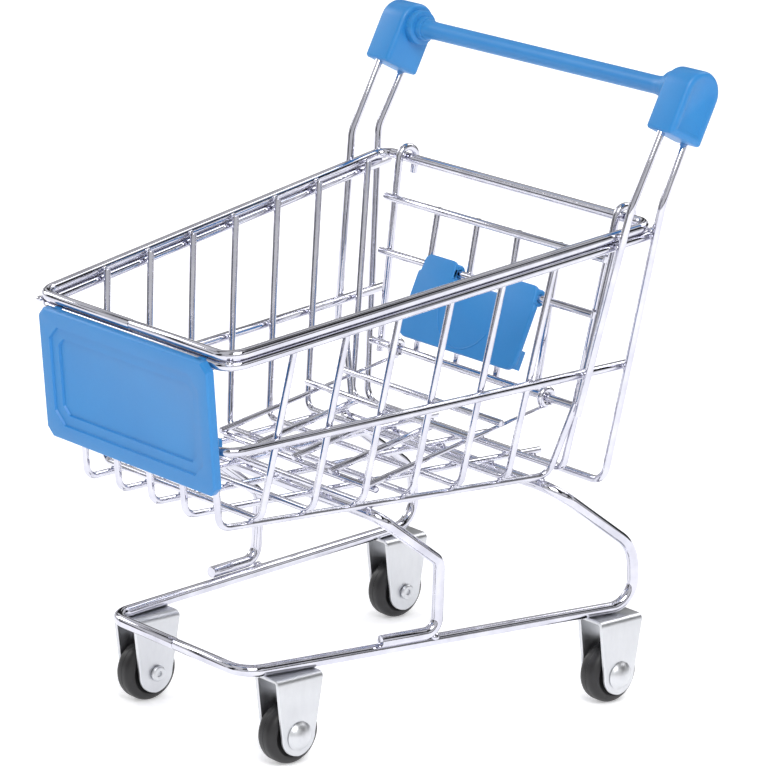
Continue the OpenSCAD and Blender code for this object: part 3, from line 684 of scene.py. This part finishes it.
def makeCap(side):
    middle = Vector((side * capMiddle.x, capMiddle.y, capMiddle.z))
    half = cap["width"] / 2

    def ring(x, inset):
        return [middle + Vector((x, 0, 0)) + across * u - stem * v for u, v in capOutline(inset)]
    edge = cap["round"]
    rounding = [(half - edge + edge * math.sin(angle), edge * (1 - math.cos(angle)))
                for angle in arcSteps(0, 90, 5)]
    loops = [ring(-x, inset) for x, inset in reversed(rounding)] + [ring(x, inset) for x, inset in rounding]
    rim = edge + cap["dishRim"]
    outer = [(half, rim), (half - cap["dish"], rim + cap["dishSlope"])]
    if side > 0:
        loops += [ring(x, inset) for x, inset in outer]
    else:
        loops = [ring(-x, inset) for x, inset in reversed(outer)] + loops
    meshes = [loftMesh("body", loops)]
    reach = half
    for radius, length in cap["bosses"]:
        end = reach + length
        profile = [(reach - cap["bossRoot"], radius)]
        profile += [(end - before, radius - inset) for before, inset in cap["bossEdge"]]
        meshes.append(turned("boss", [(-side * x, r) for x, r in profile], middle, cap["bossSides"]))
        reach = end
    return joinMeshes("cap", meshes, cap["sharpAngle"])


def makeBar():
    reach = handle["capSpan"] / 2 - cap["width"] / 2 - sum(length for _, length in cap["bosses"])
    right = [(reach + x, bar["radius"] + share * bar["flare"]) for x, share in bar["flareSteps"]]
    profile = [(-x, radius) for x, radius in reversed(right)] + right
    mesh = turned("bar", profile, (0, capMiddle.y, capMiddle.z), bar["sides"])
    return joinMeshes("bar", [mesh], cap["sharpAngle"])


for side, word in ((-1, "left"), (1, "right")):
    addPiece("handleCap" + word.capitalize(), makeCap(side), "handle_cap_" + word)
addPiece("handleBar", makeBar(), "handle_bar")
print("handle made")


sign = {"width": 52.4, "height": 26.4, "thick": 2.0, "rise": 0.9, "cuts": (1.6, 2.6, 1.6),
        "borders": (3.2, 5.4), "recess": (0.5, 1.0), "edge": 0.35, "wall": 0.06, "soften": 0.05,
        "sharpAngle": 20, "clipWidth": 1.8, "clipWall": 0.8, "clipGap": 0.2}
signGap = gauge["rail"] / 2 + weldGap
signPlace = Matrix.Translation((0, rail2Y, rail2Z)) @ Matrix.Rotation(slopeAngle, 4, "X")


def signOutline(inset, cut, depth):      # an oblong with cut corners, at a depth in front of the rail
    x = sign["width"] / 2 - inset
    high, low = sign["rise"] - inset, sign["rise"] - sign["height"] + inset
    flat = [(x - cut, high), (x, high - cut), (x, low + cut), (x - cut, low),
            (cut - x, low), (-x, low + cut), (-x, high - cut), (cut - x, high)]
    return [signPlace @ Vector((u, -signGap - depth, v)) for u, v in flat]


def makeSign():
    thick, edge = sign["thick"], sign["edge"]
    (first, second), (shallow, deep) = sign["borders"], sign["recess"]
    cuts, wall = sign["cuts"], sign["wall"]
    steps = [(edge, cuts[0], 0), (0, cuts[0], edge), (0, cuts[0], thick - edge), (edge, cuts[0], thick),
             (first - wall, cuts[1], thick), (first + wall, cuts[1], thick - shallow),
             (second - wall, cuts[2], thick - shallow), (second + wall, cuts[2], thick - deep)]
    meshes = [loftMesh("plate", [signOutline(*step) for step in steps])]
    clipX = (basket["longWidthFront"] + gauge["mesh"] + sign["clipWidth"]) / 2 + sign["clipGap"]
    reach = signGap + sign["clipWall"]
    for drop in (0, math.hypot(basket["frontSlope"], rail2Z - basket["midFront"])):
        high = min(reach, sign["rise"]) if drop == 0 else reach
        for side in (-1, 1):
            low = (side * clipX - sign["clipWidth"] / 2, -signGap - thick / 2, -drop - reach)
            meshes.append(boxMesh(low, (low[0] + sign["clipWidth"], reach, high - drop), signPlace))
    return joinMeshes("sign", meshes, sign["sharpAngle"], sign["soften"])


addPiece("frontSign", makeSign(), "front_sign")
print("sign made")


flap = {"width": 35.2, "drop": 15.6, "rise": 2.2, "thick": 1.3, "lean": 14.6, "edge": 0.4, "sharpAngle": 34,
        "lobes": (7.4, 16.8), "lobeRound": 1.6, "cornerRound": 2.4, "shoulderDrop": 1.4, "shoulderRound": 0.6,
        "barrel": 1.8, "barrelRound": 0.3, "barrelSides": 40, "bore": 0.9,
        "stopInset": 1.2, "stopHalf": 0.6, "stopDepth": (0.3, 2.7), "stopHeight": (0.6, 4.6),
        "lineRadius": 8.25, "lineDrop": 6.4, "lineTop": 3, "bead": 0.17, "beadEnd": 0.03, "beadSink": 0.02}
flapLean = math.radians(-gate["lean"] - flap["lean"])
flapPlace = Matrix.Translation(flapHinge) @ Matrix.Rotation(flapLean, 4, "X")


def flapOutline(inset):      # a plate with two lobes on its top edge, as (x, z) pairs
    half, low = flap["width"] / 2 - inset, -flap["drop"] + inset
    corner, lobe = flap["cornerRound"] - inset, flap["lobeRound"] - inset
    inner, outer = flap["lobes"][0] + inset, flap["lobes"][1] - inset
    high, step = flap["rise"] - inset, -flap["shoulderDrop"] - inset
    shoulder = flap["shoulderRound"]

    def arc(x, z, radius, start, end, steps=6):
        return [(x + radius * math.cos(angle), z + radius * math.sin(angle))
                for angle in arcSteps(start, end, steps)]
    right = arc(half - corner, low + corner, corner, -90, 0)
    right += arc(half - shoulder, step - shoulder, shoulder, 0, 90, 3)
    right += arc(outer - lobe, high - lobe, lobe, 0, 90)
    right += arc(inner + lobe, high - lobe, lobe, 90, 180)
    right += [(inner, step)]
    return right + [(-x, z) for x, z in reversed(right)]


def makeFlap():
    front, thick, edge = -flap["barrel"], flap["thick"], flap["edge"]
    steps = [(edge * (1 - math.sin(angle)), front + edge * (1 - math.cos(angle)))
             for angle in arcSteps(0, 90, 3)]
    steps += [(edge * (1 - math.cos(angle)), front + thick - edge * (1 - math.sin(angle)))
              for angle in arcSteps(0, 90, 3)]
    loops = [[flapPlace @ Vector((x, depth, z)) for x, z in flapOutline(inset)] for inset, depth in steps]
    return loftMesh("plate", loops)


def ringTurned(name, profile, place, sides):      # a closed outline of (x, radius) pairs, turned with a bore
    count = len(profile)
    points, faces = [], []
    for step in range(sides):
        angle = 2 * math.pi * step / sides
        points += [(place @ Vector((x, radius * math.cos(angle), radius * math.sin(angle)))) * mm
                   for x, radius in profile]
        here, beyond = step * count, (step + 1) % sides * count
        for index in range(count):
            after = (index + 1) % count
            faces.append((here + index, here + after, beyond + after, beyond + index))
    mesh = bpy.data.meshes.new(name)
    mesh.from_pydata(points, [], faces)
    return mesh


def flapExtras(side):      # the barrel that clips on the wire, and the stop behind the lower corner
    (inner, outer), bore, radius, soft = flap["lobes"], flap["bore"], flap["barrel"], flap["barrelRound"]
    profile = [(inner, bore), (outer, bore), (outer, radius - soft), (outer - soft, radius),
               (inner + soft, radius), (inner, radius - soft)]
    barrel = ringTurned("barrel", [(side * x, r) for x, r in profile], flapPlace, flap["barrelSides"])
    stopX = side * (flap["width"] / 2 - flap["stopInset"])
    ends = zip((-flap["stopHalf"], flap["stopHalf"]), flap["stopDepth"], flap["stopHeight"])
    low, high = ((stopX + x, y - radius, z - flap["drop"]) for x, y, z in ends)
    return [barrel, boxMesh(low, high, flapPlace)]


def flapBead():      # the moulded line, shaped like a U
    radius, middle = flap["lineRadius"], -flap["lineDrop"]
    line = [(radius * math.cos(angle), middle + radius * math.sin(angle)) for angle in arcSteps(180, 360, 28)]
    line = [(-radius, middle + flap["lineTop"])] + line + [(radius, middle + flap["lineTop"])]
    points = [flapPlace @ Vector((x, flap["beadSink"] - flap["barrel"], z)) for x, z in line]
    bends = [0] * (len(points) - 2)
    return wireMesh(points, bends, 2 * flap["bead"], materials["blue_plastic"], flap["beadEnd"])


flapMeshes = [makeFlap(), *flapExtras(-1), *flapExtras(1), flapBead()]
addPiece("seatFlap", joinMeshes("flap", flapMeshes, flap["sharpAngle"]), "seat_flap")
print("flap made")


# The drilled end's points are shares of the roll, and radii
caster = {"ear": 8.2, "length": 11.4, "sheet": 0.8, "play": 0.35, "cornerRound": 1.2, "shoulder": 1.4,
          "foot": 0.2, "edgeRound": 0.2, "lip": 0.25, "rivet": 2.4, "rivetSides": 40, "headWidth": 5.8,
          "headHeight": 1.5, "headEdge": 0.12, "headSteps": 8, "headTip": 0.05, "roll": 0.9,
          "rollSink": 0.02, "drill": ((0.5, 0.5), (0.9, 0.62)), "sharpAngles": (38, 30)}
wheelSize = {"radius": 6.25, "width": 4.8, "shoulder": 1.6, "web": 0.5, "hub": 1.9, "boreRadius": 1.25,
             "boreEdge": 0.15, "hubEdge": ((0, 0.3), (0.12, 0.08)), "webEdge": (0.1, 0.15),
             "treadEdge": ((0, 0.9), (0.12, 0.6)), "mouldLine": ((0.12, 0), (0.05, 0.06)), "sides": 72,
             "sharpAngle": 32}
forkIn = wheelSize["width"] / 2 + caster["play"]
bracketTop = base["railHeight"] - gauge["base"] / 2 - weldGap


def makeBracket(place):      # one bent sheet: down one side, over the wheel and down the other
    axleZ, thick, corner = place.z, caster["sheet"], caster["cornerRound"]
    earRadius = caster["ear"] / 2

    def side(distance, radius, top):      # one face of the sheet, from the foot of the left ear
        heights = [axleZ + earRadius * math.sin(angle) for angle in arcSteps(-90, 0, 12)]
        heights += [lerp(axleZ, top - radius, share / 4) for share in range(1, 4)]
        left = [(-distance, z) for z in heights]
        left += [(-distance + radius - radius * math.cos(angle), top - radius + radius * math.sin(angle))
                 for angle in arcSteps(0, 90, 5)]
        return left + [(-x, z) for x, z in reversed(left)]

    def halfLength(z):
        if z < axleZ:
            return math.sqrt(max(earRadius ** 2 - (axleZ - z) ** 2, caster["foot"] ** 2))
        shoulder = bracketTop - caster["shoulder"]
        return lerp(earRadius, caster["length"] / 2, min((z - axleZ) / (shoulder - axleZ), 1))

    outer = side(forkIn + thick, corner, bracketTop)
    inner = side(forkIn, corner - thick, bracketTop - thick)
    loops = []
    for (x, z), (innerX, innerZ) in zip(outer, inner):
        long = halfLength(z)
        soft = min(caster["edgeRound"], long / 3)
        lip = thick * caster["lip"]
        wayX, wayZ = (innerX - x) / thick, (innerZ - z) / thick
        loops.append([(x, -long + soft, z), (x + wayX * lip, -long, z + wayZ * lip),
                      (innerX - wayX * lip, -long, innerZ - wayZ * lip), (innerX, -long + soft, innerZ),
                      (innerX, long - soft, innerZ), (innerX - wayX * lip, long, innerZ - wayZ * lip),
                      (x + wayX * lip, long, z + wayZ * lip), (x, long - soft, z)])
    loops = [[(place.x + x, place.y + y, z) for x, y, z in loop] for loop in loops]
    return joinMeshes("bracket", [loftMesh("sheet", loops)], caster["sharpAngles"][0])


def makeRivet(place):      # a dome outside and a drilled, rolled end inside
    face = forkIn + caster["sheet"] + weldGap
    headRadius, height, shaft = caster["headWidth"] / 2, caster["headHeight"], caster["rivet"] / 2
    dome = (headRadius ** 2 + height ** 2) / (2 * height)
    outward = 1 if place.x > 0 else -1
    edge, roll = caster["headEdge"], caster["roll"] / 2
    profile = [(-face - caster["roll"] * share, radius) for share, radius in caster["drill"]]
    profile += [(-face - roll + roll * math.cos(angle), shaft + roll * math.sin(angle))
                for angle in arcSteps(180, 0, 8)]
    profile += [(caster["rollSink"] - face, shaft), (face, shaft), (face, headRadius - edge),
                (face + edge, headRadius)]
    for step in range(1, caster["headSteps"] + 1):
        x = edge + (height - edge) * step / caster["headSteps"]
        radius = math.sqrt(max(dome ** 2 - (dome - height + x) ** 2, 0))
        profile.append((face + x, max(radius, caster["headTip"])))
    mesh = turned("rivet", [(outward * x, radius) for x, radius in profile], place, caster["rivetSides"])
    return joinMeshes("rivet", [mesh], caster["sharpAngles"][1])


def makeWheel(place):
    radius, half, shoulder = wheelSize["radius"], wheelSize["width"] / 2, wheelSize["shoulder"]
    bore, hub, web = wheelSize["boreRadius"], wheelSize["hub"], half - wheelSize["web"]
    edge, (webSide, webUp) = wheelSize["boreEdge"], wheelSize["webEdge"]
    side = [(half - edge, bore), (half, bore + edge)]
    side += [(half - x, bore + hub - r) for x, r in wheelSize["hubEdge"]]
    side += [(web + webSide, bore + hub), (web, bore + hub + webUp)]
    side += [(web + x, radius - shoulder - r) for x, r in wheelSize["treadEdge"]]
    side += [(half - shoulder + shoulder * math.sin(angle), radius - shoulder + shoulder * math.cos(angle))
             for angle in arcSteps(90, 0, 9)]
    side += [(x, radius - r) for x, r in wheelSize["mouldLine"]]
    profile = side + [(-x, r) for x, r in reversed(side)]
    mesh = ringTurned("wheel", profile, Matrix.Translation(place), wheelSize["sides"])
    return joinMeshes("wheel", [mesh], wheelSize["sharpAngle"])


for end, lengthways in (("front", frontAxle), ("rear", rearAxle)):
    for side, word in ((-1, "left"), (1, "right")):
        place = Vector((side * lengthways.x, lengthways.y, lengthways.z))
        label = end.capitalize() + word.capitalize()
        addPiece("bracket" + label, makeBracket(place), f"bracket_{end}_{word}")
        addPiece("axleRivet" + label, makeRivet(place), f"axle_rivet_{end}_{word}")
        addPiece("wheel" + label, makeWheel(place), f"wheel_{end}_{word}")
print("casters made")


# A weld's sizes are shares of the thinner wire's gauge
weld = {"width": 0.46, "height": 0.30, "vary": 0.22, "seed": 7, "facets": 3,
        "reach": 0.16, "apart": 0.4, "parallel": 0.05, "mostPoints": 14}


def makeWeldTree():
    tree, given, result = newTree("weld nuggets", {"Vary": "Float", "Seed": "Int", "Material": "Material"})
    link = tree.links.new
    points = tree.nodes.new("GeometryNodeMeshToPoints")
    blob = tree.nodes.new("GeometryNodeMeshIcoSphere")
    blob.inputs["Radius"].default_value = 1
    blob.inputs["Subdivisions"].default_value = weld["facets"]
    facing = tree.nodes.new("GeometryNodeInputNamedAttribute")
    facing.data_type = "FLOAT_VECTOR"
    facing.inputs["Name"].default_value = "facing"
    size = tree.nodes.new("GeometryNodeInputNamedAttribute")
    size.data_type = "FLOAT_VECTOR"
    size.inputs["Name"].default_value = "size"
    turn = tree.nodes.new("FunctionNodeAlignRotationToVector")
    turn.axis = "Z"
    shuffle = tree.nodes.new("FunctionNodeRandomValue")
    shuffle.data_type = "FLOAT"
    low = tree.nodes.new("ShaderNodeMath")
    low.operation = "SUBTRACT"
    low.inputs[0].default_value = 1
    grow = tree.nodes.new("ShaderNodeVectorMath")
    grow.operation = "SCALE"
    place = tree.nodes.new("GeometryNodeInstanceOnPoints")
    real = tree.nodes.new("GeometryNodeRealizeInstances")
    smooth = tree.nodes.new("GeometryNodeSetShadeSmooth")
    paint = tree.nodes.new("GeometryNodeSetMaterial")
    link(given.outputs["Geometry"], points.inputs["Mesh"])
    link(given.outputs["Vary"], low.inputs[1])
    link(low.outputs[0], shuffle.inputs[2])
    link(given.outputs["Seed"], shuffle.inputs["Seed"])
    link(facing.outputs["Attribute"], turn.inputs["Vector"])
    link(size.outputs["Attribute"], grow.inputs[0])
    link(shuffle.outputs[1], grow.inputs["Scale"])
    link(points.outputs["Points"], place.inputs["Points"])
    link(blob.outputs["Mesh"], place.inputs["Instance"])
    link(turn.outputs["Rotation"], place.inputs["Rotation"])
    link(grow.outputs["Vector"], place.inputs["Scale"])
    link(place.outputs["Instances"], real.inputs["Geometry"])
    link(real.outputs["Geometry"], smooth.inputs["Geometry"])
    link(smooth.outputs["Geometry"], paint.inputs["Geometry"])
    link(given.outputs["Material"], paint.inputs["Material"])
    link(paint.outputs["Geometry"], result.inputs["Geometry"])
    return tree


def closest(a, b, c, d):      # the nearest points of two straight stretches
    u, v, w = b - a, d - c, a - c
    uu, uv, vv, uw, vw = u.dot(u), u.dot(v), v.dot(v), u.dot(w), v.dot(w)
    bottom = uu * vv - uv * uv
    if bottom < weld["parallel"] * uu * vv:
        return None
    s = min(max((uv * vw - vv * uw) / bottom, 0), 1)
    t = min(max((uv * s + vw) / vv, 0), 1)
    s = min(max((uv * t - uw) / uu, 0), 1)
    return a + u * s, c + v * t


def weldPoints(body):
    named = [(name, [Vector(point) for point in routes[name][0]], routes[name][2])
             for name in routes if bodyOf[name] == body and len(routes[name][0]) < weld["mostPoints"]]
    found = []
    for i, (_, first, firstGauge) in enumerate(named):
        for _, second, secondGauge in named[i + 1:]:
            touch = (firstGauge + secondGauge) / 2
            for a, b in zip(first, first[1:]):
                for c, d in zip(second, second[1:]):
                    pair = closest(a, b, c, d)
                    if not pair:
                        continue
                    step = pair[1] - pair[0]
                    if weld["apart"] * touch < step.length < touch + weld["reach"]:
                        middle = pair[0] + step * (firstGauge / (2 * touch))
                        found.append((middle, step.normalized(), min(firstGauge, secondGauge)))
    return found


def addWelds(name, body):
    spots = weldPoints(body)
    mesh = bpy.data.meshes.new("spots")
    mesh.from_pydata([spot[0] * mm for spot in spots], [], [])
    facing = mesh.attributes.new("facing", "FLOAT_VECTOR", "POINT")
    size = mesh.attributes.new("size", "FLOAT_VECTOR", "POINT")
    for index, (_, direction, thin) in enumerate(spots):
        facing.data[index].vector = direction
        size.data[index].vector = Vector((weld["width"], weld["width"], weld["height"])) * thin * mm
    holder = bpy.data.objects.new("spots", mesh)
    bpy.context.scene.collection.objects.link(holder)
    mesh = bakeTree(holder, weldTree, {"Vary": weld["vary"], "Seed": weld["seed"],
                                       "Material": materials["chrome_wire"]})
    piece = bpy.data.objects.new(name, mesh)
    bpy.context.scene.collection.objects.link(piece)
    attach(piece, body)
    print(name, len(spots))


weldTree = makeWeldTree()
addWelds("basketWelds", "root")
addWelds("gateWelds", "gate")
addWelds("seatWelds", "seat_back")

stage = {
    "floorSize": 6, "floorGlow": 0.42, "floorDark": (0.90, 0.90, 0.91, 1), "floorPale": (0.93, 0.93, 0.94, 1),
    "floorCloud": (3, 2), "floorRough": 0.6, "floorHaze": 0.1,
    "sky": 0.75, "patches": (2.3, 1.5), "patchStops": ((0.46, 0.03), (0.52, 1.0)), "aim": (0, 0, 0.06),
    "lamps": (("key", (0.9, -0.5, 1.2), 0.7, 15), ("left", (-1.2, -0.3, 0.7), 0.5, 4),
              ("back", (0.1, 1.2, 1.2), 0.8, 6)),      # name, place, size and power
}


def addStage():
    bpy.ops.mesh.primitive_plane_add(size=stage["floorSize"])
    floor = bpy.context.object
    floor.name = "floor"
    material, start, place = startMaterial("pale floor")
    cloud = start.noise(place, *stage["floorCloud"])
    pale = cloud.blend(stage["floorDark"], stage["floorPale"])
    finishMaterial(start, {"Base Color": pale, "Roughness": stage["floorRough"] + cloud * stage["floorHaze"],
                           "Emission Color": pale, "Emission Strength": stage["floorGlow"]})
    floor.data.materials.append(material)
    for name, place, size, power in stage["lamps"]:
        lamp = bpy.data.objects.new(name, bpy.data.lights.new(name, "AREA"))
        lamp.data.size = size
        lamp.data.energy = power
        lamp.location = place
        lamp.rotation_euler = (Vector(stage["aim"]) - Vector(place)).to_track_quat("-Z", "Y").to_euler()
        bpy.context.scene.collection.objects.link(lamp)


def addSky():      # white to look at, with soft dark patches that the chrome mirrors
    world = bpy.data.worlds.new("studio")
    bpy.context.scene.world = world
    world.use_nodes = True
    tree = world.node_tree
    tree.nodes.clear()
    start = Value(tree)
    way = start.make("ShaderNodeTexCoord", output="Generated")
    patches = start.noise(way, *stage["patches"]).ramp(*stage["patchStops"])
    seen = start.make("ShaderNodeLightPath", output="Is Camera Ray")
    colour = seen.blend(patches, (1, 1, 1, 1))
    light = start.make("ShaderNodeBackground", {}, {"Color": colour, "Strength": stage["sky"]})
    out = tree.nodes.new("ShaderNodeOutputWorld")
    tree.links.new(light.socket, out.inputs["Surface"])
    bpy.context.scene.view_settings.view_transform = "Standard"      # keeps the blue full and the floor white


addSky()
addStage()
